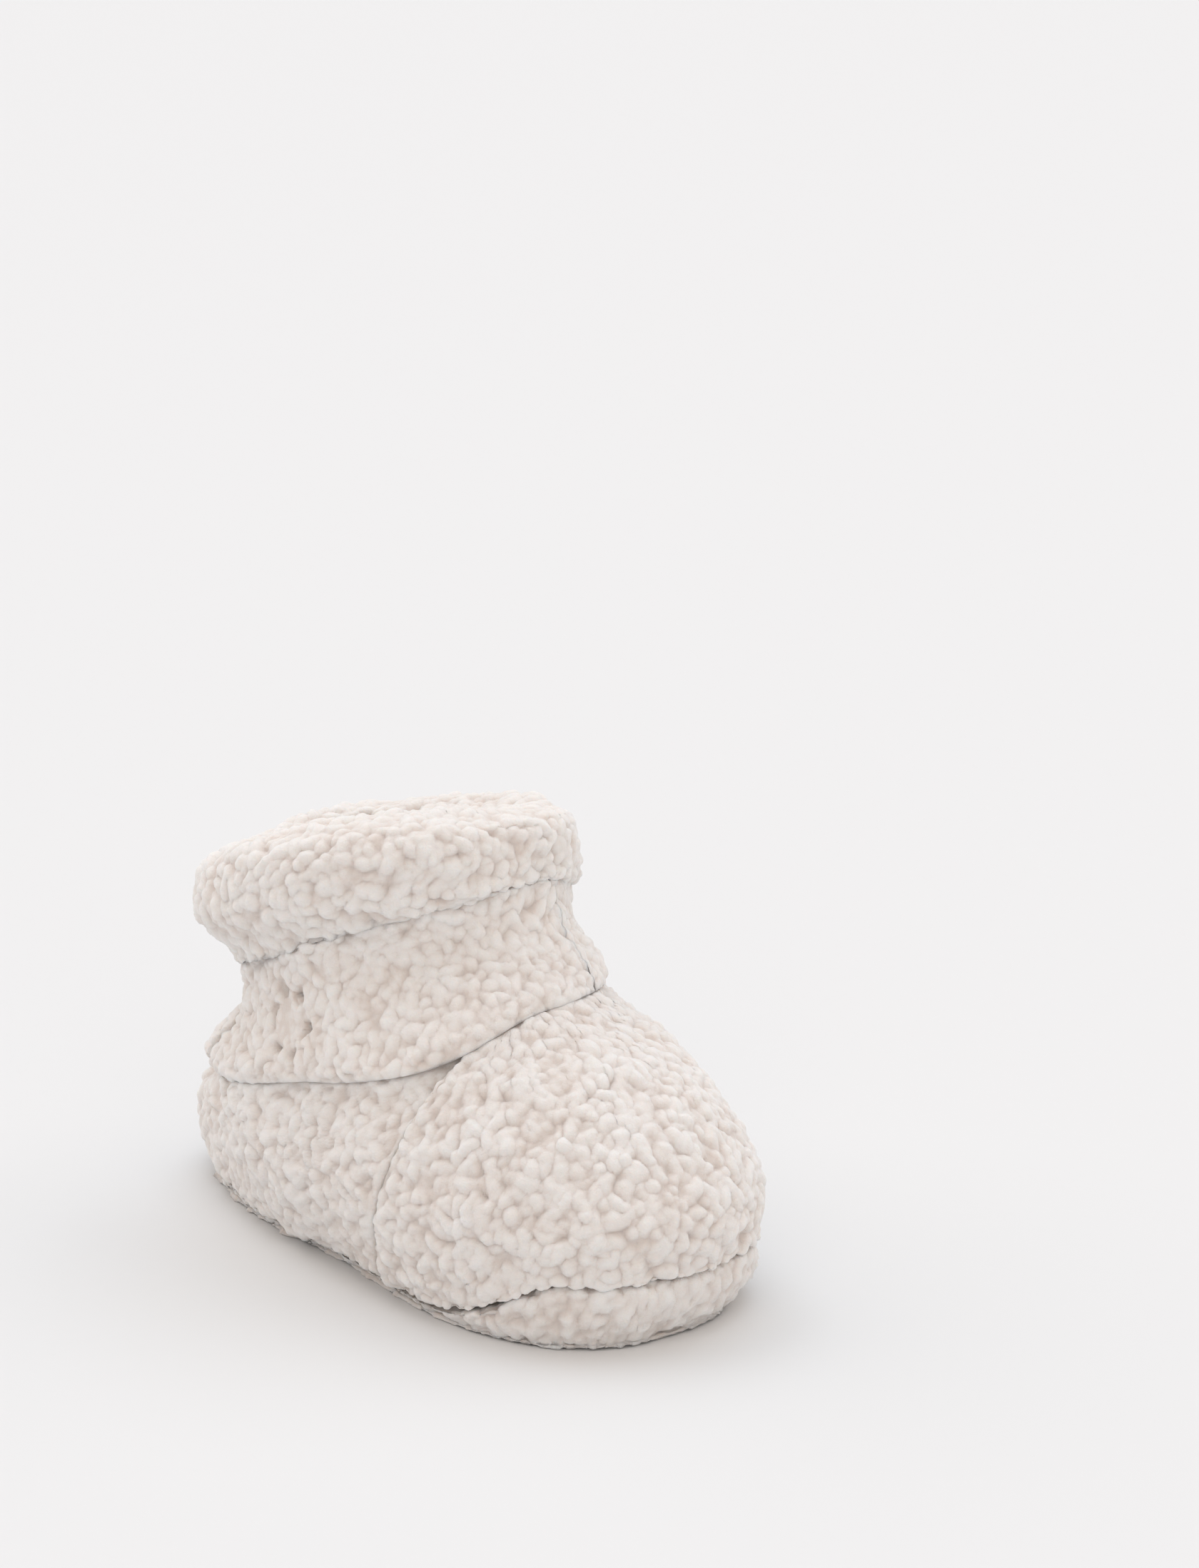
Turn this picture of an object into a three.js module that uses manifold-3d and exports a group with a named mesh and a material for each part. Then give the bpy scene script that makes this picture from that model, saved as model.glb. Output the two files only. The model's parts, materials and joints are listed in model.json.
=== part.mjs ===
// Fleece baby bootie for the right foot, millimetres. Toe towards +X, outer side of the foot
// towards -Y, up is +Z, sole on Z = 0.
import * as THREE from 'three';
import { mergeVertices } from 'three/addons/utils/BufferGeometryUtils.js';
import Module from 'manifold-3d';

const wasm = await Module();
wasm.setup();

// ---- driving dimensions -------------------------------------------------------------------
const panelThick = 3.2;          // outer fleece panel, pile included
const liningThick = 2.2;         // inner fleece lining
const gap = 0.3;                 // clearance between layers that touch in the real bootie
const seamGap = 1.7;             // open groove where two panels are sewn together
const threadRadius = 0.25;
const shaftLayerGap = 1.4;       // room in the shaft wall for the elastic
const outsoleThick = 3.4;
const foamThick = 3.5;
const insoleThick = 2.4;
const randToe = 1.93;            // section index where the sole cup ends round the toe
const randSide = 0.55;           // and along the sides and heel
const seamRise = 0.17;           // step in section index from the sole cup to the upper, at the toe
const seamRiseSide = 0.25;
const upperEnd = 7.1;            // section index where the upper meets the shaft
const shaftTop = 9;
const seamFoot = 9.5;            // X of the side seam at the sole
const seamLean = 0.31;           // how far the side seam leans forward per mm of height
const tongueAngle = THREE.MathUtils.degToRad(33);   // least half angle of the toe panel
const hingeAngle = THREE.MathUtils.degToRad(58);    // fold line of the ankle flap
const flapEnd = THREE.MathUtils.degToRad(134);      // free end of the ankle flap
const bandStart = THREE.MathUtils.degToRad(136.5);  // sewn start of the ankle band
const foldGap = 0.016;           // half of the slit at the fold line, radians
const facingThick = 0.9;
const bandThickTop = 2.9;
const bandThickHem = 1.7;
const snapAngle = THREE.MathUtils.degToRad(96);
const snapHeight = 40;
const snapRadius = 4.2;
const stemRadius = 0.9;
const headRadius = 1.3;
const boreRadius = 2.4;

// Sections of the outer fleece surface, from the ground up. Each is a tilted oval: its rearmost
// and foremost points, half width, widening towards the toe, squareness, narrowing at the instep.
const sections = [
  { back: [-62, 0], front: [52, 0], half: 26, egg: 0.14, square: 2.55, waist: 0.13 },
  { back: [-66, 4], front: [56, 4], half: 29.5, egg: 0.15, square: 2.5, waist: 0.08 },
  { back: [-67, 11], front: [57.5, 12], half: 31.2, egg: 0.13, square: 2.4, waist: 0.03 },
  { back: [-65.3, 17.5], front: [58.3, 22], half: 32, egg: 0.1, square: 2.3, waist: 0 },
  { back: [-58.5, 24], front: [50.2, 33], half: 30.4, egg: 0.07, square: 2.25, waist: 0 },
  { back: [-51.8, 29], front: [37.3, 41.7], half: 27.8, egg: 0.04, square: 2.2, waist: 0 },
  { back: [-47.8, 34], front: [20.3, 48.8], half: 24.7, egg: 0, square: 2.1, waist: 0 },
  { back: [-47, 40.5], front: [9, 54.5], half: 23.6, egg: 0, square: 2, waist: 0 },
  { back: [-47.3, 48.5], front: [5.2, 62.5], half: 23.6, egg: 0, square: 2, waist: 0 },
  { back: [-49, 57.5], front: [5.5, 71], half: 24.5, egg: 0, square: 2, waist: 0 },
].map((s) => [...s.back, ...s.front, s.half, s.egg, s.square, s.waist]);

// ---- the shared outer surface ---------------------------------------------------------------
const spline = (a, b, c, d, f) => {
  const v0 = (c - a) / 2;
  const v1 = (d - b) / 2;
  return (2 * b - 2 * c + v0 + v1) * f ** 3 + (3 * c - 3 * b - 2 * v0 - v1) * f ** 2 + v0 * f + b;
};

function section(k) {
  const last = sections.length - 1;
  const kk = Math.min(Math.max(k, 0), last);
  const i = Math.min(Math.floor(kk), last - 1);
  const row = (j) => sections[Math.min(Math.max(j, 0), last)];
  return row(i).map((_, n) => spline(row(i - 1)[n], row(i)[n], row(i + 1)[n], row(i + 2)[n], kk - i));
}

const signedPower = (v, p) => Math.sign(v) * Math.abs(v) ** p;

// angle 0 is the toe, 90 degrees the outer side, 180 the heel
function surface(angle, k) {
  const [backX, backZ, frontX, frontZ, half, egg, square, waist] = section(k);
  const c = signedPower(Math.cos(angle), 2 / square);
  const s = signedPower(Math.sin(angle), 2 / square);
  const width = half * (1 + egg * c - waist * Math.exp(-(((c + 0.02) / 0.42) ** 2)));
  return new THREE.Vector3(
    (backX + frontX) / 2 + ((frontX - backX) / 2) * c,
    -width * s,
    (backZ + frontZ) / 2 + ((frontZ - backZ) / 2) * c,
  );
}

function normal(angle, k) {
  const h = 1e-3;
  const du = surface(angle + h, k).sub(surface(angle - h, k));
  const top = Math.min(k + h, sections.length - 1);
  const low = Math.max(k - h, 0);
  return surface(angle, top).sub(surface(angle, low)).cross(du).normalize();
}

const inside = (angle, k, depth) => surface(angle, k).addScaledVector(normal(angle, k), -depth);

function insetRing(angle, k, inset, height) {
  const n = normal(angle, k);
  n.z = 0;
  n.normalize();
  const p = surface(angle, k).addScaledVector(n, -inset);
  if (height !== undefined) p.z = height;
  return p;
}

function sectionAtHeight(angle, height) {
  let low = 0;
  let high = sections.length - 1;
  for (let i = 0; i < 40; i += 1) {
    const mid = (low + high) / 2;
    if (surface(angle, mid).z < height) low = mid; else high = mid;
  }
  return (low + high) / 2;
}

// lower and upper edge of the ankle band
function bandLow(angle) {
  const c = Math.cos(angle);
  const innerSide = Math.max(-Math.sin(angle), 0) ** 1.5;
  const fromDroop = ((angle + 2 * Math.PI) % (2 * Math.PI) - THREE.MathUtils.degToRad(128))
    / THREE.MathUtils.degToRad(28);
  const height = 34 + 11.5 * c + 2.8 * Math.max(c, 0) ** 4 + 4 * Math.max(-c, 0) ** 6 + 6 * innerSide
    - 3.5 * Math.exp(-(fromDroop ** 2));
  return sectionAtHeight(angle, height);
}

function bandHigh(angle) {
  let k = 8;
  for (let i = 0; i < 12; i += 1) k = sectionAtHeight(angle, 62 + 0.42 * surface(angle, k).x);
  return k;
}

// top edge of the sole cup and lower edge of the upper: high round the toe, low elsewhere
function toeShare(angle) {
  const turned = Math.abs(Math.atan2(Math.sin(angle), Math.cos(angle)));
  return THREE.MathUtils.smoothstep(THREE.MathUtils.degToRad(72) - turned, 0,
    THREE.MathUtils.degToRad(40));
}
const randEdge = (angle) => THREE.MathUtils.lerp(randSide, randToe, toeShare(angle));
const grooveStep = (angle) => THREE.MathUtils.lerp(seamRiseSide, seamRise, toeShare(angle));
const upperLow = (angle) => randEdge(angle) + grooveStep(angle);

// angle of the side seam at a section
function seamAngle(k) {
  const [backX, backZ, frontX, frontZ, , , square] = section(k);
  const x = seamFoot + (backZ * 0.45 + frontZ * 0.55 - 5) * seamLean;
  const q = (x - (backX + frontX) / 2) / ((frontX - backX) / 2);
  const angle = Math.acos(Math.min(Math.max(signedPower(q, square / 2), -1), 1));
  return (angle + tongueAngle + Math.hypot(angle - tongueAngle, 0.14)) / 2;
}

// ---- solid builders ---------------------------------------------------------------------------
function solid(points, faces) {
  let volume = 0;
  for (const [a, b, c] of faces) volume += points[a].dot(points[b].clone().cross(points[c]));
  const out = volume < 0 ? faces.map(([a, b, c]) => [a, c, b]) : faces;
  const g = new THREE.BufferGeometry();
  g.setAttribute('position', new THREE.Float32BufferAttribute(points.flatMap((p) => p.toArray()), 3));
  g.setIndex(out.flat());
  g.computeVertexNormals();
  return g;
}

// closed body between an outer and an inner grid of points
function sheet(outer, inner, nu, nv) {
  const points = [];
  for (const at of [outer, inner]) {
    for (let j = 0; j <= nv; j += 1) for (let i = 0; i <= nu; i += 1) points.push(at(i / nu, j / nv));
  }
  const id = (side, i, j) => side * (nu + 1) * (nv + 1) + j * (nu + 1) + i;
  const faces = [];
  const quad = (a, b, c, d) => faces.push([a, b, c], [a, c, d]);
  for (let j = 0; j < nv; j += 1) {
    for (let i = 0; i < nu; i += 1) {
      quad(id(0, i, j), id(0, i + 1, j), id(0, i + 1, j + 1), id(0, i, j + 1));
      quad(id(1, i, j), id(1, i, j + 1), id(1, i + 1, j + 1), id(1, i + 1, j));
    }
    quad(id(0, 0, j), id(0, 0, j + 1), id(1, 0, j + 1), id(1, 0, j));
    quad(id(0, nu, j), id(1, nu, j), id(1, nu, j + 1), id(0, nu, j + 1));
  }
  for (let i = 0; i < nu; i += 1) {
    quad(id(0, i, 0), id(1, i, 0), id(1, i + 1, 0), id(0, i + 1, 0));
    quad(id(0, i, nv), id(0, i + 1, nv), id(1, i + 1, nv), id(1, i, nv));
  }
  return solid(points, faces);
}

// rings of points joined in order; open ends are closed with a fan, a loop joins last to first
function loft(rings, loop = false) {
  const n = rings[0].length;
  const points = rings.flat();
  const faces = [];
  const count = loop ? rings.length : rings.length - 1;
  for (let r = 0; r < count; r += 1) {
    const next = (r + 1) % rings.length;
    for (let i = 0; i < n; i += 1) {
      const j = (i + 1) % n;
      faces.push([r * n + i, r * n + j, next * n + j], [r * n + i, next * n + j, next * n + i]);
    }
  }
  if (!loop) {
    for (const [r, flip] of [[0, true], [rings.length - 1, false]]) {
      const centre = rings[r].reduce((s, p) => s.add(p), new THREE.Vector3()).divideScalar(n);
      points.push(centre);
      const c = points.length - 1;
      for (let i = 0; i < n; i += 1) {
        const j = (i + 1) % n;
        faces.push(flip ? [c, r * n + j, r * n + i] : [c, r * n + i, r * n + j]);
      }
    }
  }
  return solid(points, faces);
}

const circle = (n, at) => Array.from({ length: n }, (_, i) => at((i / n) * Math.PI * 2));

function panel(low, high, edgeA, edgeB, outerDepth, innerDepth, nu, nv) {
  const place = (depth) => (u, v) => {
    let bottom = low(0);
    let top = high(0);
    for (let i = 0; i < 12; i += 1) {
      bottom = low(THREE.MathUtils.lerp(edgeA(bottom), edgeB(bottom), u));
      top = high(THREE.MathUtils.lerp(edgeA(top), edgeB(top), u));
    }
    const k = THREE.MathUtils.lerp(bottom, top, v);
    const angle = THREE.MathUtils.lerp(edgeA(k), edgeB(k), u);
    return inside(angle, k, typeof depth === 'function' ? depth(v) : depth);
  };
  return sheet(place(outerDepth), place(innerDepth), nu, nv);
}

const fixed = (value) => () => value;

// thread laid along a row of points
function thread(points, steps) {
  const path = new THREE.CatmullRomCurve3(points);
  const shape = new THREE.Shape();
  for (let i = 0; i < 6; i += 1) {
    const a = (i / 6) * Math.PI * 2;
    const p = [Math.cos(a) * threadRadius, Math.sin(a) * threadRadius];
    if (i === 0) shape.moveTo(...p); else shape.lineTo(...p);
  }
  shape.closePath();
  const g = new THREE.ExtrudeGeometry(shape, { steps, extrudePath: path, bevelEnabled: false });
  g.deleteAttribute('normal');
  g.deleteAttribute('uv');
  return mergeVertices(g, 1e-4);
}

function turned(profile, origin, axis, segments = 24) {
  const g = new THREE.LatheGeometry(profile.map((p) => new THREE.Vector2(...p)), segments);
  const turn = new THREE.Quaternion().setFromUnitVectors(new THREE.Vector3(0, 1, 0), axis);
  g.applyMatrix4(new THREE.Matrix4().compose(origin, turn, new THREE.Vector3(1, 1, 1)));
  g.deleteAttribute('normal');
  g.deleteAttribute('uv');
  return mergeVertices(g, 1e-4);
}

function toManifold(g) {
  const clean = g.clone();
  for (const name of Object.keys(clean.attributes)) if (name !== 'position') clean.deleteAttribute(name);
  const merged = mergeVertices(clean, 1e-4);
  return new wasm.Manifold(new wasm.Mesh({
    numProp: 3,
    vertProperties: new Float32Array(merged.attributes.position.array),
    triVerts: new Uint32Array(merged.index.array),
  }));
}

function cut(g, tools) {
  let body = toManifold(g);
  for (const tool of tools) body = body.subtract(toManifold(tool));
  const mesh = body.getMesh();
  const out = new THREE.BufferGeometry();
  out.setAttribute('position', new THREE.Float32BufferAttribute([...mesh.vertProperties], 3));
  out.setIndex([...mesh.triVerts]);
  out.computeVertexNormals();
  return out;
}

// ---- assembly -----------------------------------------------------------------------------------
const group = new THREE.Group();
const colours = {
  fleece: 0xeee6df, lining: 0xefe6dc, foam: 0xf0efe8, thread: 0xe9dfd5, elastic: 0xe8e2da, snap: 0xb9b6b0,
};

function add(name, geometry, kind, metalness = 0) {
  const roughness = metalness > 0 ? 0.35 : 0.95;
  const material = new THREE.MeshStandardMaterial({ color: colours[kind], roughness, metalness });
  const mesh = new THREE.Mesh(geometry, material);
  mesh.name = name;
  group.add(mesh);
}

const round = 44;
const liningDepth = panelThick + gap + 0.15;
const shaftLiningDepth = panelThick + shaftLayerGap;

// sole: fleece cup, foam pad, fleece insole
add('outsole', loft([
  circle(round, (a) => insetRing(a, 0, 9, 0)),
  circle(round, (a) => surface(a, 0)),
  ...[0.25, 0.5, 0.75, 1].map((share) => circle(round, (a) => surface(a, share * randEdge(a)))),
  circle(round, (a) => insetRing(a, randEdge(a), panelThick)),
  circle(round, (a) => insetRing(a, Math.min(randEdge(a), 1.2), panelThick + 0.2)),
  circle(round, (a) => insetRing(a, 1, 4.6, outsoleThick)),
  circle(round, (a) => insetRing(a, 1, 14, outsoleThick)),
]), 'fleece');
const foamLow = outsoleThick + gap;
const foamHigh = foamLow + foamThick;
add('sole_foam', loft([
  circle(32, (a) => insetRing(a, 1, 5.6, foamLow)),
  circle(32, (a) => insetRing(a, 1.2, 4.2, foamLow + 1.2)),
  circle(32, (a) => insetRing(a, 1.3, 4.2, foamHigh)),
]), 'foam');
const insoleLow = foamHigh + gap;
add('insole', loft([
  circle(32, (a) => insetRing(a, 1.6, 7.2, insoleLow)),
  circle(32, (a) => insetRing(a, 1.6, 6.8, insoleLow + insoleThick / 2)),
  circle(32, (a) => insetRing(a, 1.6, 7.4, insoleLow + insoleThick)),
]), 'lining');

// toe panel and heel panel with their linings, sewn together at the two side seams
const halfSeam = seamGap / 2 / 27;
const toeA = (k) => -seamAngle(k) + halfSeam;
const toeB = (k) => seamAngle(k) - halfSeam;
const heelA = (k) => seamAngle(k) + halfSeam;
const heelB = (k) => 2 * Math.PI - seamAngle(k) - halfSeam;
const highEdge = fixed(upperEnd);
add('vamp_outer', panel(upperLow, highEdge, toeA, toeB, 0, panelThick, 30, 12), 'fleece');
add('vamp_lining', panel(fixed(1.68), highEdge, toeA, toeB, liningDepth, liningDepth + liningThick,
  30, 12), 'lining');
const snapSection = sectionAtHeight(snapAngle, snapHeight);
const snapAxis = normal(snapAngle, snapSection);
const snapBase = surface(snapAngle, snapSection);
const along = (distance) => snapBase.clone().addScaledVector(snapAxis, distance);
const pocket = (radius, from, to) => turned([[0, from], [radius, from], [radius, to], [0, to]],
  snapBase, snapAxis);
add('quarter_outer', cut(panel(upperLow, highEdge, heelA, heelB, 0, panelThick, 30, 12), [
  pocket(snapRadius + 0.3, -1.6, 3),
  pocket(stemRadius + 0.3, -6, 0),
  pocket(snapRadius - 0.6, -6, -2.9),
]), 'fleece');
add('quarter_lining', panel(fixed(1.68), highEdge, heelA, heelB, liningDepth + 0.35,
  liningDepth + liningThick + 0.35, 30, 12), 'lining');

// ankle shaft: outer, elastic at the back, lining
const ring = (k0, k1, d0, d1, n, nv) => loft([
  ...Array.from({ length: nv + 1 }, (_, j) => circle(n, (a) => inside(a, k0 + ((k1 - k0) * j) / nv, d0))),
  ...Array.from({ length: nv + 1 }, (_, j) => circle(n, (a) => inside(a, k1 - ((k1 - k0) * j) / nv, d1))),
], true);
const shaftStart = upperEnd + 0.06;
add('shaft_outer', ring(shaftStart, shaftTop, 0, panelThick, 36, 5), 'fleece');
add('shaft_lining', ring(shaftStart, shaftTop, shaftLiningDepth, shaftLiningDepth + liningThick, 36, 5),
  'lining');
add('ankle_elastic', panel(fixed(7.6), fixed(8.2), fixed(Math.PI * 0.7), fixed(Math.PI * 1.3),
  panelThick + gap, panelThick + gap + 0.8, 14, 1), 'elastic');

// collar: lining fleece folded over the shaft's top edge, hanging lower towards the heel
const collarProfile = [
  [-3.6, 1.5, 0], [-7, 2.2, 0], [-6.8, 4.2, 0], [-4.4, 6.6, 0], [-0.5, 7.4, 0], [4.2, 6.1, 0],
  [7.2, 2.2, 0], [8.1, -1.5, 0.3], [7.6, -0.6, 0.75], [5, 0, 1], [2.4, 0, 0.97], [1.3, 0.4, 0],
];
function collarPoint(angle, [out, up, drop]) {
  const n = normal(angle, shaftTop);
  n.z = 0;
  n.normalize();
  const rim = surface(angle, shaftTop);
  const flare = 0.85 - 0.45 * Math.cos(angle + 0.5);
  const reach = out > 2 ? 2 + (out - 2) * flare : out;
  const leg = rim.z - surface(angle, bandHigh(angle)).z - 1;
  const p = rim.clone().addScaledVector(n, reach);
  p.z += up - drop * leg;
  return p;
}
const collarRings = circle(40, (a) => collarProfile.map((row) => collarPoint(a, row)));
add('collar_roll', loft(collarRings, true), 'lining');

// ankle band: sewn part, and the flap that folds open at the fold line
const bandInner = -(2 * gap + facingThick + 0.15);
const bandTop = (v) => bandInner - (bandThickHem
  + (bandThickTop - bandThickHem) * Math.min(v / 0.3, 1));
const facingDepths = [-(gap + facingThick), -gap];
const bandLift = (angle) => bandHigh(angle) - 0.1;
const turn = Math.PI * 2;
const flapLift = (angle) => bandHigh(angle) - 0.16;
const band = (a0, a1, outer, inner, nu, nv) => panel(bandLow, a0 === bandStart ? bandLift : flapLift,
  fixed(a0), fixed(a1), outer, inner, nu, nv);
add('band_outer', band(bandStart, turn + hingeAngle - foldGap, bandTop, bandInner, 34, 6), 'fleece');
add('band_facing', band(bandStart, turn + hingeAngle - foldGap, ...facingDepths, 34, 6), 'lining');
add('flap_outer', cut(band(hingeAngle + foldGap, flapEnd, bandTop, bandInner, 16, 6), [
  pocket(4.7, 0.8, 2.1),
]), 'fleece');
add('flap_facing', cut(band(hingeAngle + foldGap, flapEnd, ...facingDepths, 16, 6), [
  pocket(4.7, -1, 2.2),
]), 'lining');

// hidden snap: stud and back post on the heel panel, socket and cap on the flap
const snapTop = 0.7;
add('snap_stud', turned([[0, -1.3], [stemRadius - 0.3, -1.3], [snapRadius, -1.3], [snapRadius, -0.7],
  [headRadius - 0.2, -0.6], [headRadius, 0.1], [headRadius - 0.3, snapTop - 0.05], [0, snapTop]],
snapBase, snapAxis), 'snap', 0.9);
add('snap_post', turned([[0, -3.65], [snapRadius - 0.9, -3.65], [snapRadius - 0.9, -3.15],
  [stemRadius, -3.15], [stemRadius, -1.55], [0, -1.55]], snapBase, snapAxis), 'snap', 0.9);
add('snap_socket', turned([[boreRadius, -0.2], [snapRadius, -0.2], [snapRadius, 0.8], [boreRadius, 0.8],
  [boreRadius, -0.2]], snapBase, snapAxis), 'snap', 0.9);
add('snap_cap', turned([[0, 0.95], [snapRadius + 0.2, 0.95], [snapRadius + 0.2, 1.45],
  [snapRadius - 1, 1.75], [0, 1.75]], snapBase, snapAxis), 'snap', 0.9);

// seams: one thread in each groove
const groove = panelThick / 2;
const threadRing = (a, k) => {
  const p = inside(a, k, groove);
  const n = normal(a, k);
  const up = new THREE.Vector3(0, 0, 1).addScaledVector(n, -n.z).normalize();
  return circle(6, (t) => p.clone().addScaledVector(n, Math.cos(t) * threadRadius)
    .addScaledVector(up, Math.sin(t) * threadRadius));
};
add('sole_seam', loft(circle(44, (a) => threadRing(a, randEdge(a) + grooveStep(a) / 2)), true), 'thread');
const seamLow = upperLow(Math.PI / 2);
const seamPoints = (side) => Array.from({ length: 11 }, (_, i) => {
  const k = seamLow + ((upperEnd - seamLow) * (i + 1)) / 12;
  return inside(side * seamAngle(k), k, groove);
});
add('side_seam_outer', thread(seamPoints(1), 22), 'thread');
add('side_seam_inner', thread(seamPoints(-1), 22), 'thread');

// origin at the middle of the footprint, on the ground
const extent = new THREE.Box3().setFromObject(group);
const middle = extent.getCenter(new THREE.Vector3());
group.position.set(-middle.x, -middle.y, -extent.min.z);

export default group;
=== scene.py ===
import json
import math

import bpy
import numpy as np
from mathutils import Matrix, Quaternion, Vector


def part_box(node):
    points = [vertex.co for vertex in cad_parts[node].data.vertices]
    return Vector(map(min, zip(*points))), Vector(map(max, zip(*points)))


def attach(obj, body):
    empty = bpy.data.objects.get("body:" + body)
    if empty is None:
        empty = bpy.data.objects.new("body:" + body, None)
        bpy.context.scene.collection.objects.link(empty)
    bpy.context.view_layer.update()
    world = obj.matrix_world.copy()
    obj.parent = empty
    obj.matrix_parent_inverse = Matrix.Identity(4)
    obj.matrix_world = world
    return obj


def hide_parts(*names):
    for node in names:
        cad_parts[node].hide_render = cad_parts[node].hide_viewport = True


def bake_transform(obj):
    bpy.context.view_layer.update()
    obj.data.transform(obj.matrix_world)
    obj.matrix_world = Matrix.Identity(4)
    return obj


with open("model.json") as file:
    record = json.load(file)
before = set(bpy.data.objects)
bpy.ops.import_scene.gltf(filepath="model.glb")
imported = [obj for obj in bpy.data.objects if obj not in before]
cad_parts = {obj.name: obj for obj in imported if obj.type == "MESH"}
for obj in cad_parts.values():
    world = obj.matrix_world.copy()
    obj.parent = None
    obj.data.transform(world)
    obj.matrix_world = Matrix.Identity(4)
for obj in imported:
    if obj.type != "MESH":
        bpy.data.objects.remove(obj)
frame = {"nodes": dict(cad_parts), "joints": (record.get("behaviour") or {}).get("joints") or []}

MM = 0.001
FULL = 2 * math.pi
BODY, FLAP = "bootie", "flap"
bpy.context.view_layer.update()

# ---- driving dimensions ------------------------------------------------------------------------
PANEL = 3.2             # fleece panel thickness
LINING = 2.2            # lining fleece thickness
FACING = 0.9            # jersey behind the band
GAP = 0.3               # room between two layers
SHAFT_GAP = 1.4         # room between the ankle shaft and its lining
BAND_TOP, BAND_HEM = 2.9, 1.7      # thickness of the band's fleece, and at its lower hem
BAND_LENGTH, BAND_WIDTH = 186, 27  # along the band, and across it
LEG_RADIUS = 27.0       # mean radius of the foot, to turn angles into lengths
HALF_SEAM = 0.1 / LEG_RADIUS       # half the slit between two foot panels, as an angle
GRAIN = 0.42            # spacing of the fine pile mesh
TUFT = 2.0              # spacing of the curls
PILE = 1.55             # height of the curls
CURL_MEAN = 0.85        # height of the curls that leaves a surface where it is
CURL_LEAN = 0.16        # how far the curls spread over their neighbours
PRESS = 1.6             # how far the band presses the pile under it

# edges, counted in sections of the table below
RAND_TOP, RAND_LOW = 1.93, 0.55    # top of the sole at the toe guard, and along the sides
GROOVE_TOE, GROOVE_SIDE = 0.17, 0.25    # room for the sole seam
UPPER_HIGH, SHAFT_TOP = 7.1, 9.0   # top of the foot panels, and of the ankle shaft

# places round the foot
SEAM_FOOT, SEAM_LEAN = 9.5, 0.31   # x of the side seams at the sole, and their lean
TONGUE = math.radians(33)          # half angle of the tongue
FOLD = math.radians(58)            # hinge line of the flap
FLAP_END = math.radians(134)       # free end of the flap
BAND_START = math.radians(136.5)   # sewn end of the band
BAND_PATCH = math.radians(-25)     # where the fixed band fleece hands over to the flap's piece

SNAP_ANGLE, SNAP_HEIGHT = math.radians(96), 40.0    # where the snap sits
SNAP_SEAT = 6.2         # radius of the flat seat under the snap
SNAP_COVER = 4.9        # radius of the fleece that has to stay over the snap
SKIN_OVER_SNAP = 2.1    # lowest height of that fleece
PITS, PIT_RADIUS, PIT_DEPTH = 6, 5.2, 2.3    # gathers round the dimple

# sections of the outer fleece surface, ground up:
# rear x, z, front x, z, half width, widening to the toe, squareness, narrowing at the instep
SECTIONS = np.array([
    (-62.0, 0.0, 52.0, 0.0, 26.0, 0.14, 2.55, 0.13),
    (-66.0, 4.0, 56.0, 4.0, 29.5, 0.15, 2.5, 0.08),
    (-67.0, 11.0, 57.5, 12.0, 31.2, 0.13, 2.4, 0.03),
    (-65.3, 17.5, 58.3, 22.0, 32.0, 0.10, 2.3, 0.0),
    (-58.5, 24.0, 50.2, 33.0, 30.4, 0.07, 2.25, 0.0),
    (-51.8, 29.0, 37.3, 41.7, 27.8, 0.04, 2.2, 0.0),
    (-47.8, 34.0, 20.3, 48.8, 24.7, 0.0, 2.1, 0.0),
    (-47.0, 40.5, 9.0, 54.5, 23.6, 0.0, 2.0, 0.0),
    (-47.3, 48.5, 5.2, 62.5, 23.6, 0.0, 2.0, 0.0),
    (-49.0, 57.5, 5.5, 71.0, 24.5, 0.0, 2.0, 0.0),
])


# ---- the shared surface ------------------------------------------------------------------------
def section(k):
    """Row of the section table at a place between its rows, on a smooth curve."""
    last = len(SECTIONS) - 1
    k = np.clip(k, 0, last)
    i = np.minimum(np.floor(k).astype(int), last - 1)
    f = (k - i)[..., None]
    a, b = SECTIONS[np.maximum(i - 1, 0)], SECTIONS[i]
    c, d = SECTIONS[i + 1], SECTIONS[np.minimum(i + 2, last)]
    v0, v1 = (c - a) / 2, (d - b) / 2
    return (2 * b - 2 * c + v0 + v1) * f**3 + (3 * c - 3 * b - 2 * v0 - v1) * f**2 + v0 * f + b


def spow(v, p):
    """Power that keeps the sign."""
    return np.sign(v) * np.abs(v) ** p


def surface(angle, k):
    """Point of the outer surface; angle 0 is the toe, 90 degrees the outer side."""
    angle, k = np.broadcast_arrays(np.asarray(angle, float), np.asarray(k, float))
    rx, rz, fx, fz, half, egg, square, waist = np.moveaxis(section(k), -1, 0)
    c, s = spow(np.cos(angle), 2 / square), spow(np.sin(angle), 2 / square)
    half = half * (1 + egg * c - waist * np.exp(-((c + 0.02) / 0.42)**2))
    return np.stack([(rx + fx) / 2 + (fx - rx) / 2 * c, -half * s,
                     (rz + fz) / 2 + (fz - rz) / 2 * c], -1) + ORIGIN


def unit(v):
    return v / (np.linalg.norm(v, axis=-1, keepdims=True) + 1e-12)


def bump(angle, centre, width):
    """1 at the centre angle, fading on both sides."""
    return np.exp(-(np.angle(np.exp(1j * (angle - centre))) / width)**2)


def normal(angle, k):
    h, top = 1e-3, len(SECTIONS) - 1
    angle, k = np.broadcast_arrays(np.asarray(angle, float), np.asarray(k, float))
    du = surface(angle + h, k) - surface(angle - h, k)
    dk = surface(angle, np.minimum(k + h, top)) - surface(angle, np.maximum(k - h, 0))
    return unit(np.cross(dk, du))


def inside(angle, k, depth):
    """Point a depth below the outer surface."""
    return surface(angle, k) - normal(angle, k) * np.asarray(depth, float)[..., None]


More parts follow.
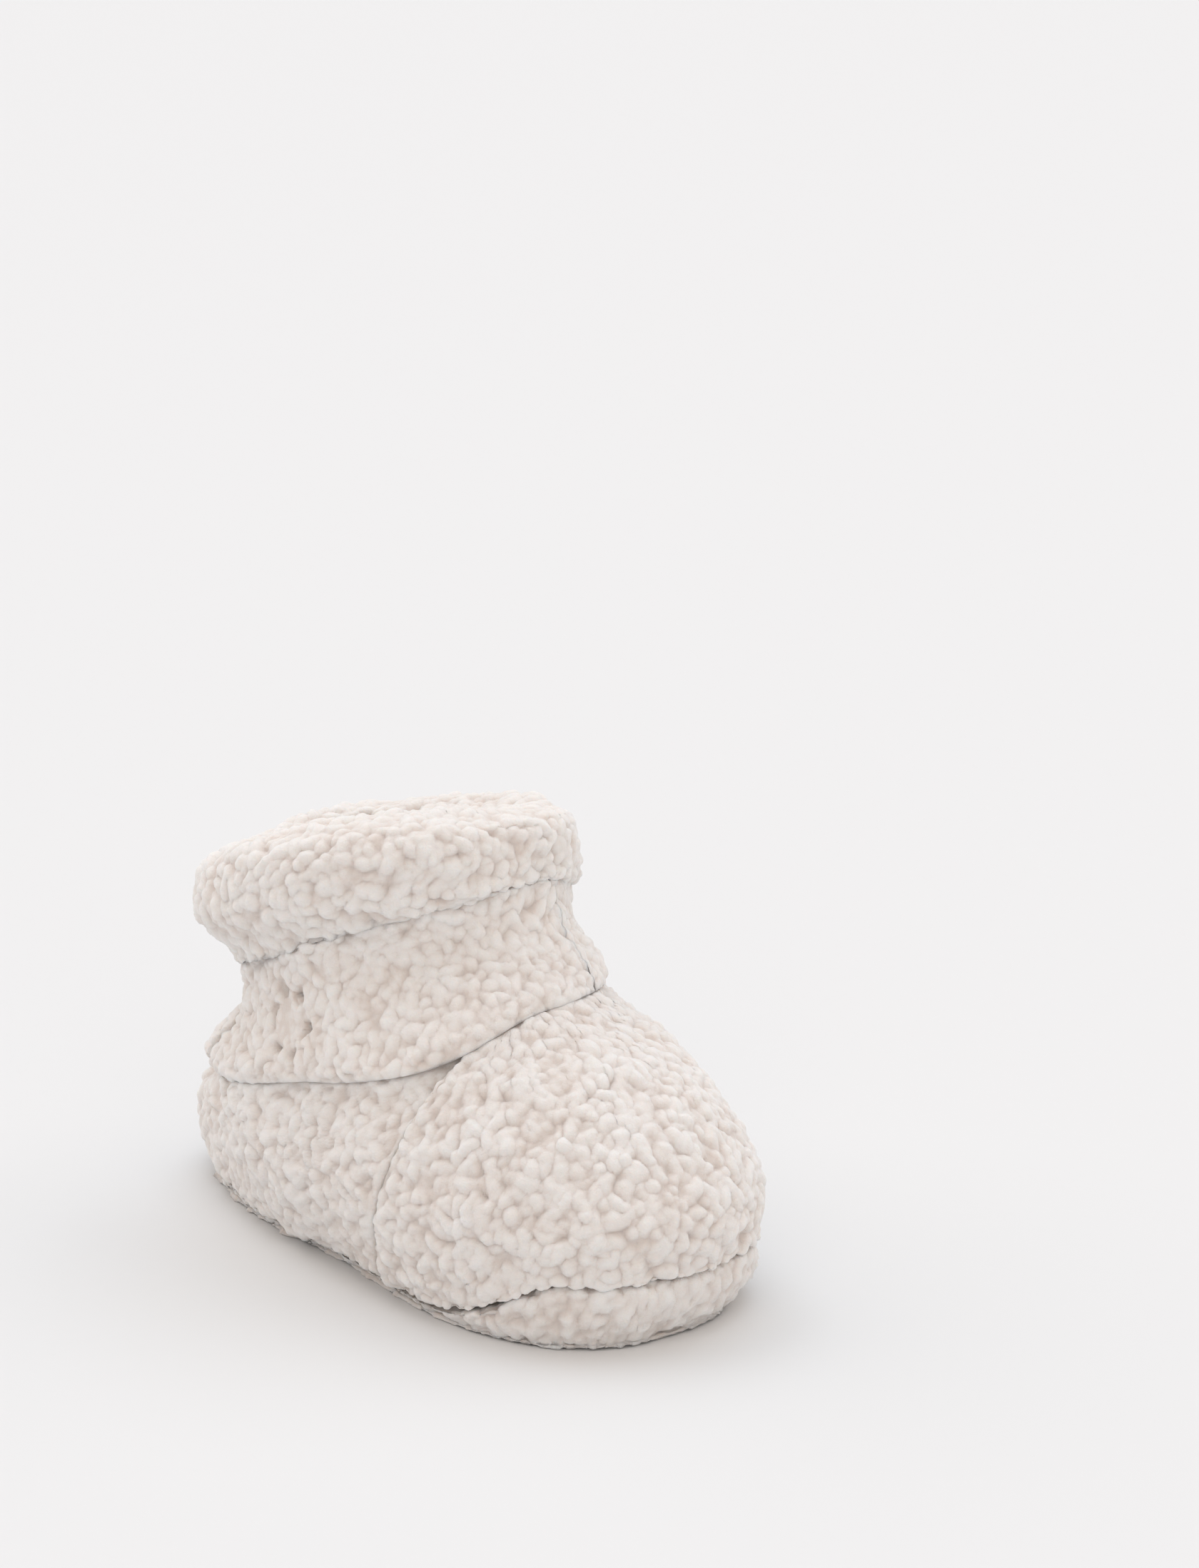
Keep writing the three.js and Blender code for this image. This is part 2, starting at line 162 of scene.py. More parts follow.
def at_height(angle, z):
    """Section whose surface lies at a height."""
    angle, z = np.broadcast_arrays(np.asarray(angle, float), np.asarray(z, float))
    low, high = np.zeros(angle.shape), np.full(angle.shape, len(SECTIONS) - 1.0)
    for _ in range(36):
        mid = (low + high) / 2
        below = surface(angle, mid)[..., 2] < z
        low, high = np.where(below, mid, low), np.where(below, high, mid)
    return (low + high) / 2


def band_low(angle):
    """Lower hem of the band: high over the instep, drooping beside the flap's end."""
    c = np.cos(angle)
    inner = np.maximum(-np.sin(angle), 0) ** 1.5
    droop = bump(angle, math.radians(128), math.radians(28))
    return at_height(angle, 34 + 11.5 * c + 2.8 * np.maximum(c, 0)**4
                     + 4 * np.maximum(-c, 0)**6 + 6 * inner - 3.5 * droop)


def band_high(angle):
    """Top edge of the band, in a plane that rises towards the toe."""
    k = np.full(np.shape(angle), 8.0)
    for _ in range(10):
        k = at_height(angle, 62 + 0.42 * (surface(angle, k)[..., 0] - ORIGIN[0]))
    return k


def toe_share(angle):
    """1 over the toe, 0 along the sides and heel."""
    turn = np.abs(np.angle(np.exp(1j * np.asarray(angle, float))))
    f = np.clip((math.radians(72) - turn) / math.radians(40), 0, 1)
    return f * f * (3 - 2 * f)


def rand_edge(angle):
    """Top edge of the sole: a toe guard in front, low along the sides and heel."""
    return RAND_LOW + (RAND_TOP - RAND_LOW) * toe_share(angle)


def groove_step(angle):
    """Width of the sole seam's groove, in sections."""
    return GROOVE_SIDE + (GROOVE_TOE - GROOVE_SIDE) * toe_share(angle)


def seam_angle(k):
    """Angle of the side seams: leaning to the toe as they rise, then along the tongue's edge."""
    rx, rz, fx, fz, half, egg, square, waist = np.moveaxis(section(np.asarray(k, float)), -1, 0)
    x = SEAM_FOOT + (rz * 0.45 + fz * 0.55 - 5) * SEAM_LEAN
    q = spow((x - (rx + fx) / 2) / ((fx - rx) / 2), square / 2)
    a = np.arccos(np.clip(q, -1, 1))
    return (a + TONGUE + np.hypot(a - TONGUE, 0.14)) / 2


# the section table sits on its own axis: bring it to the frame's own outsole
ORIGIN = np.zeros(3)
low, high = [np.array(c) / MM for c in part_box("outsole")]
ORIGIN = np.array([high[0] - surface(0.0, RAND_TOP)[0], (low[1] + high[1]) / 2, 0.0])

snap_k = at_height(SNAP_ANGLE, SNAP_HEIGHT)
snap_at = surface(SNAP_ANGLE, snap_k)
snap_axis = normal(SNAP_ANGLE, snap_k)


def from_snap(p):
    """Distance from the snap's axis, and height along it."""
    v = p - snap_at
    along = v @ snap_axis
    return np.linalg.norm(v - along[..., None] * snap_axis, axis=-1), along


# ---- curls -------------------------------------------------------------------------------------
def hashed(ix, iy, iz, seed):
    """Seven fixed values between 0 and 1 for each cell."""
    n = (ix * 73856093) ^ (iy * 19349663) ^ (iz * 83492791) ^ (seed * 2654435761)
    n = n & 0xFFFFFFFF
    out = []
    for _ in range(7):
        n = (n ^ (n >> 15)) * 2246822519 & 0xFFFFFFFF
        n = (n ^ (n >> 13)) * 3266489917 & 0xFFFFFFFF
        n = n ^ (n >> 16)
        out.append((n & 0xFFFFFF) / float(0x1000000))
    return out


def noise(p, size, seed):
    """Smooth value noise, -1 to 1."""
    q = p / size
    i = np.floor(q).astype(np.int64)
    f = q - i
    f = f * f * (3 - 2 * f)
    total = 0
    for dx in (0, 1):
        for dy in (0, 1):
            for dz in (0, 1):
                w = (np.where(dx, f[:, 0], 1 - f[:, 0]) * np.where(dy, f[:, 1], 1 - f[:, 1])
                     * np.where(dz, f[:, 2], 1 - f[:, 2]))
                total = total + w * hashed(i[:, 0] + dx, i[:, 1] + dy, i[:, 2] + dz, seed)[0]
    return total * 2 - 1


def curls(p, size, seed, stretch=0.66):
    """Overlapping long tufts: their soft top, the lead of the top one, and its offset."""
    warp = np.stack([noise(p, size * 1.6, seed + s) for s in (11, 12, 13)], -1)
    q = (p + warp * size * 0.35) / size
    base = np.floor(q).astype(np.int64)
    best, second = np.full(len(p), -9.0), np.full(len(p), -9.0)
    total, offset = np.zeros(len(p)), np.zeros_like(p)
    for dx in (-1, 0, 1):
        for dy in (-1, 0, 1):
            for dz in (-1, 0, 1):
                c = base + (dx, dy, dz)
                r = hashed(c[:, 0], c[:, 1], c[:, 2], seed)
                centre = c + 0.5 + (np.stack(r[:3], -1) - 0.5) * 0.9
                along = unit(np.stack(r[3:6], -1) - 0.5)
                v = q - centre
                tall = 0.72 + 0.5 * r[6] - 1.35 * ((v * v).sum(-1) - stretch * (v * along).sum(-1)**2)
                near = tall > best
                second = np.where(near, best, np.maximum(second, tall))
                best = np.where(near, tall, best)
                offset = np.where(near[:, None], v * size, offset)
                total += np.exp(7 * tall)
    return np.log(total) / 7 - 0.04, best - second, offset


def pile(p, size=TUFT, seed=5):
    """Height of the curly pile, its painted shade (low and dark in the valleys between tufts, high on
    their tops), and its offset from its tuft.
    """
    top, lead, offset = curls(p, size, seed)
    small, _, _ = curls(p + 31.7, size * 0.5, seed + 50)
    clump = noise(p, size * 2.4, seed + 90)
    height = top + 0.22 * (small - 0.8) + 0.22 * clump
    valley = 1 - np.clip(lead / 0.3, 0, 1)
    # painted shade: low tufts and the valleys between them get low values, which the fleece colour turns
    # darker
    painted_shading = np.clip(0.1 + 1.1 * (height - 0.45) - 0.16 * valley**2, 0, 1)
    return height, painted_shading, offset


# ---- mesh writing ------------------------------------------------------------------------------
def write(name, points, quads, tris, attributes, material):
    """Object from points in millimetres and faces."""
    mesh = bpy.data.meshes.new(name)
    loops = np.concatenate([quads.ravel(), tris.ravel()]).astype(np.int32)
    starts = np.concatenate([np.arange(len(quads)) * 4, len(quads) * 4 + np.arange(len(tris)) * 3])
    mesh.vertices.add(len(points))
    mesh.vertices.foreach_set("co", (points * MM).astype(np.float32).ravel())
    mesh.loops.add(len(loops))
    mesh.loops.foreach_set("vertex_index", loops)
    mesh.polygons.add(len(starts))
    mesh.polygons.foreach_set("loop_start", starts.astype(np.int32))
    mesh.update(calc_edges=True)
    mesh.polygons.foreach_set("use_smooth", np.ones(len(starts), bool))
    for key, values in attributes.items():
        layer = mesh.attributes.new(key, "FLOAT", "POINT")
        layer.data.foreach_set("value", values.astype(np.float32))
    mesh.materials.append(material)
    piece = bpy.data.objects.new(name, mesh)
    bpy.context.scene.collection.objects.link(piece)
    return piece


def strip_cap(v):
    """Triangles that close a thin looped cross-section, zipped from its lower to its upper tip."""
    m, low, high = len(v), int(np.argmin(v)), int(np.argmax(v))
    one = [(low + i) % m for i in range((high - low) % m + 1)]
    two = [(low - i) % m for i in range((low - high) % m + 1)]
    tris, i, j = [], 0, 0
    while i < len(one) - 1 or j < len(two) - 1:
        if j == len(two) - 1 or (i < len(one) - 1 and v[one[i + 1]] <= v[two[j + 1]]):
            tri = (one[i], one[i + 1], two[j])
            i += 1
        else:
            tri = (one[i], two[j + 1], two[j])
            j += 1
        if len(set(tri)) == 3:
            tris.append(tri)
    return np.array(tris)


def skin(p, wrap_u, wrap_v, v=None):
    """Faces of a grid of points, its ends closed."""
    nu, m = p.shape[:2]
    i, j = np.meshgrid(np.arange(nu if wrap_u else nu - 1), np.arange(m if wrap_v else m - 1),
                       indexing="ij")
    i2, j2 = (i + 1) % nu, (j + 1) % m
    quads = np.stack([i * m + j, i2 * m + j, i2 * m + j2, i * m + j2], -1).reshape(-1, 4)
    points, tris, rims = p.reshape(-1, 3), [np.zeros((0, 3), int)], []
    if not wrap_u:
        cap = strip_cap(v)
        tris += [cap, cap[:, ::-1] + (nu - 1) * m]
    if not wrap_v:
        rims = [(np.arange(nu) * m)[::-1], np.arange(nu) * m + m - 1]
    for rim in rims:
        centre = len(points)
        points = np.vstack([points, points[rim].mean(0)])
        tris.append(np.stack([np.full(len(rim), centre), np.roll(rim, -1), rim], -1))
    return points, quads, np.vstack(tris), rims


def volume(points, quads, tris):
    """Signed volume, times six."""
    points = points - points.mean(0)
    a, b, c, d = (points[quads[:, n]] for n in range(4))
    total = (a * np.cross(b, c)).sum() + (a * np.cross(c, d)).sum()
    if len(tris):
        a, b, c = (points[tris[:, n]] for n in range(3))
        total += (a * np.cross(b, c)).sum()
    return total


def grid_normals(p, wrap_u, wrap_v):
    def step(axis, wrap):
        if wrap:
            return np.roll(p, -1, axis) - np.roll(p, 1, axis)
        return np.gradient(p, axis=axis)
    return unit(np.cross(step(0, wrap_u), step(1, wrap_v)))


def furry(p, amount, v=None, wrap_v=True, size=TUFT, seed=5, height=PILE, floor=None):
    """Displaces a closed grid along its outward normal by the curls; returns it with its painted shade,
    darker in the crevices and where the pile is thin.
    """
    wrap_u = v is None
    points, quads, tris, _ = skin(p, wrap_u, wrap_v, v)
    n = grid_normals(p, wrap_u, wrap_v).reshape(-1, 3)
    if volume(points, quads, tris) < 0:
        n = -n
    flat, amount = p.reshape(-1, 3), np.broadcast_to(amount, p.shape[:2]).reshape(-1)
    rise, painted_shading, offset = pile(flat, size, seed)
    offset = offset - (offset * n).sum(-1, keepdims=True) * n
    lift = (rise - CURL_MEAN) * height * amount
    spread = CURL_LEAN * amount * np.clip(rise, 0, 1)
    moved = flat + n * lift[:, None] + offset * spread[:, None]
    if floor is not None:
        moved[:, 2] = np.maximum(moved[:, 2], floor)
    # painted shade: where the pile amount is low, at seams, hems and under the band, the colour is darker
    return moved.reshape(p.shape), (painted_shading * (0.65 + 0.35 * amount)).reshape(p.shape[:2])


def closed(name, p, shade, material, v=None, wrap_v=True):
    """Closed piece from a grid, its faces turned outwards."""
    points, quads, tris, rims = skin(p, v is None, wrap_v, v)
    if volume(points, quads, tris) < 0:
        quads, tris = quads[:, ::-1], tris[:, ::-1]
    # the shade values become a point attribute that paints crevice shade into the fleece colour
    shade = shade.ravel()
    shade = np.concatenate([shade, [shade[rim].mean() for rim in rims]])
    return write(name, points, quads, tris, {"painted_curl_shade": shade}, material)


# ---- grids of points for each kind of part -----------------------------------------------------
def profile(length, thick, fine, coarse=9, hem=0.0):
    """Strip cross-section: share of the height, depth, and pile amount of each point. With a hem
    its low edge is a quarter round that comes down to the foot."""
    share, low = 0.8 / length, max(hem, 0.8) / length
    n = max(int(round((1 - share - low) * length / fine)), 6)
    arc = max(int(round(1.2 * thick / fine)), 5)
    turn = np.linspace(math.pi / 2, -math.pi / 2, arc + 2)[1:-1]
    side, depth = np.cos(turn)**0.6, thick / 2 * (1 - np.sign(turn) * np.abs(np.sin(turn))**0.6)
    full = np.clip(0.55 + np.sin(turn), 0, 1)
    rows = [(np.linspace(low, 1 - share, n), np.zeros(n), np.ones(n)),
            (1 - share + share * side, depth, full),
            (np.linspace(1 - share, 0.0 if hem else low, coarse), np.full(coarse, thick),
             np.zeros(coarse))]
    if hem:
        turn = np.linspace(0, math.pi / 2, arc + 2)[1:-1]
        rows.append((low * (1 - np.cos(turn)), thick * (1 - np.sin(turn)), 0.5 + 0.5 * np.sin(turn)))
    else:
        rows.append((low * (1 - side[::-1]), depth[::-1], full[::-1]))
    return [np.concatenate(part) for part in zip(*rows)]


def panel_grid(low, high, start, end, depth0, depth1, length, width, fine=GRAIN, wrap=False,
               inner=False, dip=0.7):
    """Closed cross-sections of a sewn panel, its pile amount, and each point's angle and section.
    Low and high are its edges by angle, start and end its ends by section."""
    thick = abs(depth1 - depth0)
    v, depth, full = profile(length, thick, fine)
    outer = 1 - np.clip(depth / thick, 0, 1)
    depth = max(depth0, depth1) - depth if inner else min(depth0, depth1) + depth
    nu = max(int(round(width / fine)), 12)
    uu, vv = np.meshgrid(np.linspace(0, 1, nu, endpoint=not wrap), v, indexing="ij")
    u = uu[:, 0]
    lows = np.broadcast_to(low(0.0), (nu,))
    for _ in range(12):
        lows = low(start(lows) + (end(lows) - start(lows)) * u)
    lows = lows[:, None]
    highs = np.broadcast_to(high(0.0), (nu,))[:, None]
    k = lows + (highs - lows) * vv
    angle = start(k) + (end(k) - start(k)) * uu
    edge = np.ones_like(uu)
    depths = np.broadcast_to(depth, uu.shape)
    if not wrap:
        edge = 1 - np.clip(1 - np.minimum(uu, 1 - uu) * width / 2.2, 0, 1)**2
        if not inner:
            depths = depths + (1 - edge) * dip * outer
    return inside(angle, k, depths), full * (0.75 + 0.25 * edge), angle, k, v


def edge_loop(angle, k, inset, height=None):
    """Ring set in from the outer surface, at its own height or a given one."""
    n = normal(angle, k)
    n[..., 2] = 0
    p = surface(angle, k) - unit(n) * np.asarray(inset, float)[..., None]
    if height is not None:
        p[..., 2] = height
    return p


def smooth_path(rows, spacing, loop=False):
    """Rings of points resampled along the smooth curve through the given rings."""
    rows = np.stack(rows)
    n = len(rows)
    spans = n if loop else n - 1
    t = np.linspace(0, spans, 20 * spans + 1)
    i = np.minimum(np.floor(t).astype(int), spans - 1)
    f = (t - i)[:, None, None]

    def at(j):
        return rows[j % n] if loop else rows[np.clip(j, 0, n - 1)]
    a, b, c, d = at(i - 1), at(i), at(i + 1), at(i + 2)
    v0, v1 = (c - a) / 2, (d - b) / 2
    q = (2 * b - 2 * c + v0 + v1) * f**3 + (3 * c - 3 * b - 2 * v0 - v1) * f**2 + v0 * f + b
    wanted = np.interp(t, np.arange(n + 1), np.append(spacing, spacing[0]))
    run = np.linalg.norm(np.diff(q, axis=0), axis=-1).mean(1) / ((wanted[1:] + wanted[:-1]) / 2)
    s = np.concatenate([[0], np.cumsum(run)])
    place = np.interp(np.linspace(0, s[-1], int(s[-1]) + 2, endpoint=not loop), s, np.arange(len(s)))
    j = np.minimum(place.astype(int), len(q) - 2)
    w = (place - j)[:, None, None]
    return np.moveaxis(q[j] * (1 - w) + q[j + 1] * w, 0, 1), np.interp(place, np.arange(len(t)), t)


# ---- materials ---------------------------------------------------------------------------------
def new_material(name):
    material = bpy.data.materials.new(name)
    material.use_nodes = True
    nodes, links = material.node_tree.nodes, material.node_tree.links
    return material, nodes, links, nodes["Principled BSDF"]


def ramp(nodes, stops):
    node = nodes.new("ShaderNodeValToRGB")
    while len(node.color_ramp.elements) > 1:
        node.color_ramp.elements.remove(node.color_ramp.elements[-1])
    for i, (at, colour) in enumerate(stops):
        e = node.color_ramp.elements[0] if i == 0 else node.color_ramp.elements.new(at)
        e.position, e.color = at, (*colour, 1)
    return node


def fleece_material(name, deep_shade, mid, tip, fuzz=0.6):
    """Curly pile: painted shade, warm and darker in the crevices, pale on the curls; fine fibres as bump.
    """
    material, nodes, links, shader = new_material(name)
    # this attribute holds the painted shade worked out from the pile's crevices
    painted_curl_shade = nodes.new("ShaderNodeAttribute")
    painted_curl_shade.attribute_name = "painted_curl_shade"
    coords = nodes.new("ShaderNodeTexCoord")
    patch = nodes.new("ShaderNodeTexNoise")
    patch.inputs["Scale"].default_value = 140.0
    patch.inputs["Detail"].default_value = 3.0
    links.new(coords.outputs["Object"], patch.inputs["Vector"])
    mix = nodes.new("ShaderNodeMath")
    mix.operation = "MULTIPLY_ADD"
    links.new(patch.outputs["Fac"], mix.inputs[0])
    mix.inputs[1].default_value = 0.22
    shift = nodes.new("ShaderNodeMath")
    shift.operation = "ADD"
    links.new(painted_curl_shade.outputs["Fac"], shift.inputs[0])
    shift.inputs[1].default_value = -0.11
    links.new(shift.outputs[0], mix.inputs[2])
    # the first stop is the painted crevice shade, the paler stops the tops of the curls
    colour = ramp(nodes, [(0.0, deep_shade), (0.38, mid), (0.85, tip)])
    links.new(mix.outputs[0], colour.inputs["Fac"])
    links.new(colour.outputs["Color"], shader.inputs["Base Color"])
    hair = nodes.new("ShaderNodeTexNoise")
    hair.inputs["Scale"].default_value = 2000.0
    hair.inputs["Detail"].default_value = 4.0
    hair.inputs["Distortion"].default_value = 1.2
    links.new(coords.outputs["Object"], hair.inputs["Vector"])
    relief = nodes.new("ShaderNodeBump")
    relief.inputs["Strength"].default_value = fuzz
    relief.inputs["Distance"].default_value = 0.0003
    links.new(hair.outputs["Fac"], relief.inputs["Height"])
    links.new(relief.outputs["Normal"], shader.inputs["Normal"])
    shader.inputs["Roughness"].default_value = 0.95
    shader.inputs["Specular IOR Level"].default_value = 0.15
    shader.inputs["Sheen Weight"].default_value = 0.6
    shader.inputs["Sheen Roughness"].default_value = 0.6
    shader.inputs["Subsurface Weight"].default_value = 0.4
    shader.inputs["Subsurface Radius"].default_value = (1.0, 0.75, 0.6)
    shader.inputs["Subsurface Scale"].default_value = 0.0018
    return material


def cloth_material(name, dark, light, scale):
    """Knit or woven cloth: two crossed sets of ribs."""
    material, nodes, links, shader = new_material(name)
    coords = nodes.new("ShaderNodeTexCoord")
    ribs = []
    for turned in (0.0, math.pi / 2):
        place = nodes.new("ShaderNodeMapping")
        place.inputs["Rotation"].default_value = (0.3, 0.4 + turned, turned)
        links.new(coords.outputs["Object"], place.inputs["Vector"])
        rib = nodes.new("ShaderNodeTexWave")
        rib.inputs["Scale"].default_value = scale
        rib.inputs["Distortion"].default_value = 0.6
        links.new(place.outputs["Vector"], rib.inputs["Vector"])
        ribs.append(rib)
    both = nodes.new("ShaderNodeMath")
    both.operation = "MAXIMUM"
    links.new(ribs[0].outputs["Fac"], both.inputs[0])
    links.new(ribs[1].outputs["Fac"], both.inputs[1])
    colour = ramp(nodes, [(0.1, dark), (0.9, light)])
    links.new(both.outputs[0], colour.inputs["Fac"])
    links.new(colour.outputs["Color"], shader.inputs["Base Color"])
    relief = nodes.new("ShaderNodeBump")
    relief.inputs["Strength"].default_value = 0.4
    relief.inputs["Distance"].default_value = 0.00015
    links.new(both.outputs[0], relief.inputs["Height"])
    links.new(relief.outputs["Normal"], shader.inputs["Normal"])
    shader.inputs["Roughness"].default_value = 0.9
    shader.inputs["Sheen Weight"].default_value = 0.3
    return material


def metal_material(name):
    """Turned steel, a little streaky."""
    material, nodes, links, shader = new_material(name)
    coords = nodes.new("ShaderNodeTexCoord")
    streak = nodes.new("ShaderNodeTexNoise")
    streak.inputs["Scale"].default_value = 900.0
    streak.inputs["Detail"].default_value = 5.0
    links.new(coords.outputs["Object"], streak.inputs["Vector"])
    colour = ramp(nodes, [(0.3, (0.50, 0.49, 0.47)), (0.7, (0.66, 0.65, 0.63))])
    links.new(streak.outputs["Fac"], colour.inputs["Fac"])
    links.new(colour.outputs["Color"], shader.inputs["Base Color"])
    rough = nodes.new("ShaderNodeMapRange")
    rough.inputs["To Min"].default_value = 0.24
    rough.inputs["To Max"].default_value = 0.42
    links.new(streak.outputs["Fac"], rough.inputs["Value"])
    links.new(rough.outputs["Result"], shader.inputs["Roughness"])
    shader.inputs["Metallic"].default_value = 1.0
    return material


# the first colour of each fleece is its painted crevice shade
fleece = fleece_material("curly fleece", (0.71, 0.635, 0.585), (0.795, 0.75, 0.715),
                         (0.83, 0.81, 0.79))
soft = fleece_material("lining fleece", (0.725, 0.65, 0.60), (0.80, 0.76, 0.725),
                       (0.84, 0.82, 0.80))
jersey = cloth_material("facing jersey", (0.66, 0.58, 0.52), (0.85, 0.79, 0.73), 420.0)
webbing = cloth_material("elastic tape", (0.62, 0.57, 0.52), (0.83, 0.79, 0.74), 300.0)
wadding = fleece_material("wadding", (0.68, 0.64, 0.58), (0.84, 0.81, 0.76),
                          (0.90, 0.88, 0.84), fuzz=0.5)
cotton = cloth_material("thread", (0.76, 0.69, 0.63), (0.87, 0.81, 0.76), 900.0)
metal = metal_material("snap steel")


# ---- shared by the pieces ----------------------------------------------------------------------
def stands_for(piece, node, body=BODY):
    """Hides the CAD part a piece replaces, and attaches the piece to the body it rides on, if one is
    given.
    """
    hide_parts(node)
    if body:
        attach(piece, body)
    return piece


def ring_angles(length, fine=GRAIN):
    return np.linspace(0, FULL, int(round(length / fine)), endpoint=False)


def lumps(p, big=13.0, tall=0.7, seed=3):
    """Soft unevenness of the padding, in millimetres."""
    q = p.reshape(-1, 3)
    both = noise(q, big, seed) * tall + noise(q, big * 0.45, seed + 1) * tall * 0.45
    return both.reshape(p.shape[:-1])


def const(value):
    """An edge that stays at one value."""
    return lambda a: value + 0 * np.asarray(a, float)


# the band's edges are looked up often, so they are worked out once
around = np.linspace(-math.pi, 3 * math.pi, 721)
low_table, high_table = band_low(around), band_high(around)


def low_k(angle):
    return np.interp(angle, around, low_table)


def high_k(angle):
    return np.interp(angle, around, high_table)


# ---- sole --------------------------------------------------------------------------------------
def sole_rows(angles, rows):
    """Rings from (section, inset, height, share of the way out from the middle)."""
    rings = []
    for k, inset, height, share in rows:
        ring = edge_loop(angles, np.broadcast_to(k, angles.shape), inset + 0 * angles, height)
        middle = ring.mean(0)
        rings.append(np.where([1, 1, 0], middle + (ring - middle) * share, ring))
    return rings


angles = ring_angles(322)
bottom, top = 0.5, 3.4
rand = rand_edge(angles) + 0.03
turned_in = 1.5 * bump(angles, -0.5, 0.6)
p, t = smooth_path(sole_rows(angles, [
    (0, 0, bottom, 0.04), (0, 0, bottom, 0.5), (0, turned_in - 0.6, bottom, 0.985),
    (0.15 * rand, turned_in - 0.6, None, 1), (0.42 * rand, turned_in * 0.6, None, 1),
    (0.7 * rand, 0, None, 1), (0.93 * rand, 0.15, None, 1), (rand, 1.3, None, 1), (rand, PANEL, None, 1),
    (np.minimum(rand, 1.2), PANEL + 0.4, None, 1), (1, 4.6, top, 1), (1, 12, top, 1), (1, 12, top, 0.04)]),
    [4, 1.4, 0.6] + [GRAIN] * 4 + [0.6, 1.6, 2, 2, 3, 4])
fade = np.interp(t, [0, 1.5, 2.5, 3, 6.6, 7.6, 8, 12], [0.3, 0.5, 0.8, 1, 1, 0.7, 0, 0])
p, shade = furry(p, fade, wrap_v=False, floor=0.02)
stands_for(closed("sole_fleece", p, shade, fleece, wrap_v=False), "outsole")

angles = ring_angles(290, 1.2)
foam_low = top + GAP
p, _ = smooth_path(sole_rows(angles, [
    (1, 5.6, foam_low, 0.04), (1, 5.6, foam_low, 0.97), (1.1, 4.8, foam_low + 0.8, 1),
    (1.3, 4.6, foam_low + 2.7, 1), (1.3, 5.2, foam_low + 3.4, 0.98), (1.3, 5.4, foam_low + 3.5, 0.04)]),
    [4, 0.8, 0.6, 0.6, 0.8, 4])
p, shade = furry(p, 0.12, wrap_v=False, size=1.1)
stands_for(closed("foam_pad", p, shade, wadding, wrap_v=False), "sole_foam")

insole_low = foam_low + 3.5 + GAP
p, t = smooth_path(sole_rows(angles, [
    (1.6, 7.4, insole_low, 0.04), (1.6, 7.4, insole_low, 0.98), (1.6, 6.9, insole_low + 1.1, 1),
    (1.6, 7.5, insole_low + 2.2, 0.99), (1.6, 7.5, insole_low + 2.2, 0.04)]),
    [4, 1, 0.7, 0.9, 1.4])
p, shade = furry(p, np.interp(t, [0, 1, 2, 4], [0, 0, 0.5, 0.6]), wrap_v=False)
stands_for(closed("insole_fleece", p, shade, soft, wrap_v=False), "insole")


# ---- foot panels -------------------------------------------------------------------------------
def under_band(angle, k):
    """1 on open fleece, low where the band presses the pile flat."""
    return 1 - 0.85 * np.clip((k - low_k(angle)) / 0.25 + 0.4, 0, 1)


def pressed(p, angle, k):
    """How far the band presses the pile and itself towards the foot."""
    f = np.clip((k - low_k(angle)) / 0.3 + 0.12, 0, 1)
    radius, _ = from_snap(p)
    snap, heel = np.exp(-(radius / 10)**2), bump(angle, math.radians(140), math.radians(24))
    return PRESS * f * f * (3 - 2 * f) * (1 - 0.4 * snap) * (1 - 0.7 * heel)


def toe_start(k):
    return HALF_SEAM - seam_angle(k)


def toe_end(k):
    return seam_angle(k) - HALF_SEAM


def heel_start(k):
    return seam_angle(k) + HALF_SEAM


def heel_end(k):
    return FULL - seam_angle(k) - HALF_SEAM


def pushed(p, angle, k, rise):
    """Points moved out from the foot."""
    return p + normal(angle, k) * rise[..., None]


def foot_low(angle):
    """Lower edge of the foot panels, tucked a little into the sole seam's groove."""
    return rand_edge(angle) + 0.35 * groove_step(angle)


foot_high = const(UPPER_HIGH)
p, full, angle, k, v = panel_grid(foot_low, foot_high, toe_start, toe_end, 0, PANEL, 74, 126)
open_ = under_band(angle, k)
p = pushed(p, angle, k, (lumps(p) * open_ - pressed(p, angle, k)) * full)
p, shade = furry(p, full * open_, v)
stands_for(closed("toe_fleece", p, shade, fleece, v), "vamp_outer")

p, full, angle, k, v = panel_grid(foot_low, foot_high, heel_start, heel_end, 0, PANEL, 50, 182)
open_ = under_band(angle, k)
radius, height = from_snap(p)
seat = np.clip(SNAP_SEAT - radius, 0, 1) * (height > -8)    # the outer wall only, not the far side
beside = np.minimum(angle - heel_start(k), heel_end(k) - angle) * LEG_RADIUS
hollow = 2.2 * np.exp(-(beside / 7)**2) * np.exp(-((k - low_k(angle)) / 0.8)**2)
p = pushed(p, angle, k, (lumps(p) * open_ - pressed(p, angle, k) - hollow * open_ - 0.5 * seat) * full)
p, shade = furry(p, full * open_ * (1 - seat), v)
stands_for(closed("heel_fleece", p, shade, fleece, v), "quarter_outer")

shaft_low, shaft_high = const(UPPER_HIGH + 0.06), const(SHAFT_TOP)
p, full, angle, k, _ = panel_grid(shaft_low, shaft_high, const(0.0), const(FULL), 0, PANEL, 17, 165,
                                  fine=0.7, wrap=True)
p = pushed(p, angle, k, -pressed(p, angle, k) * full)
p, shade = furry(p, full * 0.15)
stands_for(closed("shaft_fleece", p, shade, fleece), "shaft_outer")

